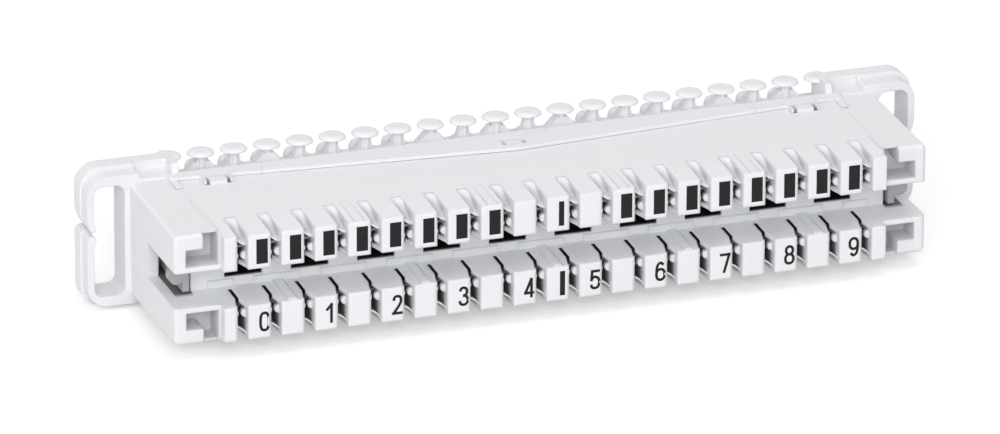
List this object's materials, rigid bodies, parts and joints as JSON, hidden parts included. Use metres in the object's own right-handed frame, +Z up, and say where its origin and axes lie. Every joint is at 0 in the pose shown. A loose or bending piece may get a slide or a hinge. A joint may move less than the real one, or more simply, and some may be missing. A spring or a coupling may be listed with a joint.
{
  "type": "punch down wiring block",
  "caption": "White disconnection block for structured cabling: slotted fingers over forked wire contacts, test windows between two rows, cable rings at the ends.",
  "frame": {"origin": "centre of the footprint, on the plane that the lowest points of the cable rings touch", "axes": "+X along the block from the left end to the right end as seen from the wire slots, +Y from the wire slots to the cable side, +Z up"},
  "size_m": [0.124, 0.0318, 0.0206],
  "materials": {
    "moulding": "satin white moulded plastic",
    "contact": "bright silver plated strip"
  },
  "bodies": {
    "root": {"front_housing": "moulding", "rear_housing": "moulding", "upper_contact_1": "contact", "lower_contact_1": "contact", "upper_contact_2": "contact", "lower_contact_2": "contact", "upper_contact_3": "contact", "lower_contact_3": "contact", "upper_contact_4": "contact", "lower_contact_4": "contact", "upper_contact_5": "contact", "lower_contact_5": "contact", "upper_contact_6": "contact", "lower_contact_6": "contact", "upper_contact_7": "contact", "lower_contact_7": "contact", "upper_contact_8": "contact", "lower_contact_8": "contact", "upper_contact_9": "contact", "lower_contact_9": "contact", "upper_contact_10": "contact", "lower_contact_10": "contact", "upper_contact_11": "contact", "lower_contact_11": "contact", "upper_contact_12": "contact", "lower_contact_12": "contact", "upper_contact_13": "contact", "lower_contact_13": "contact", "upper_contact_14": "contact", "lower_contact_14": "contact", "upper_contact_15": "contact", "lower_contact_15": "contact", "upper_contact_16": "contact", "lower_contact_16": "contact", "upper_contact_17": "contact", "lower_contact_17": "contact", "upper_contact_18": "contact", "lower_contact_18": "contact", "upper_contact_19": "contact", "lower_contact_19": "contact", "upper_contact_20": "contact", "lower_contact_20": "contact"}
  },
  "joints": []
}
